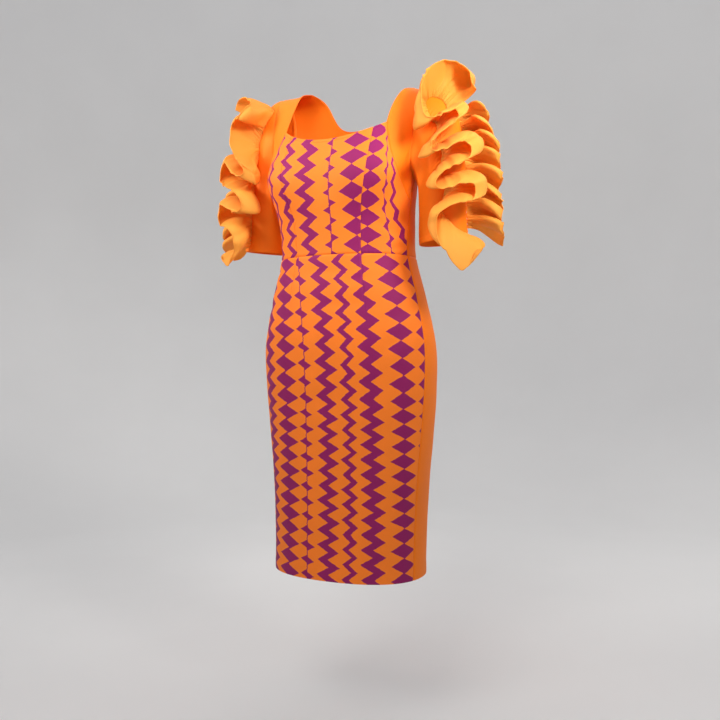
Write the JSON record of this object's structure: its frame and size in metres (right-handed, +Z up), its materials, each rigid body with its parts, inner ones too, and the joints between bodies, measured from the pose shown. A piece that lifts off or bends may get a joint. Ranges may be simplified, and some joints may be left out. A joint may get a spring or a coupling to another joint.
{
  "type": "bodycon dress",
  "caption": "Fitted midi bodycon dress with a square scooped neckline, printed front panels, plain back, half sleeves and gathered organza ruffles down the sleeves.",
  "frame": {"origin": "between the two shoulder seams, at the height of the left one's neck end, where the dress hangs from the wearer", "axes": "+Z up, the front faces -Y and the wearer's left is +X"},
  "size_m": [0.6445, 0.2643, 1.0227],
  "materials": {
    "printed_front": "smooth stretch knit, orange with a purple zigzag and diamond print, slight sheen",
    "plain_knit": "smooth plain orange stretch knit, slight sheen",
    "organza": "crisp sheer light orange organza"
  },
  "bodies": {
    "root": {"bodice_front_centre": "printed_front", "bodice_front_left": "printed_front", "bodice_front_right": "printed_front", "skirt_front": "printed_front", "bodice_back": "plain_knit", "skirt_back": "plain_knit", "yoke_front_left": "plain_knit", "yoke_front_right": "plain_knit", "sleeve_left": "plain_knit", "sleeve_right": "plain_knit", "ruffle_front_left": "organza", "ruffle_front_right": "organza", "ruffle_outer_left": "organza", "ruffle_outer_right": "organza"}
  },
  "joints": []
}
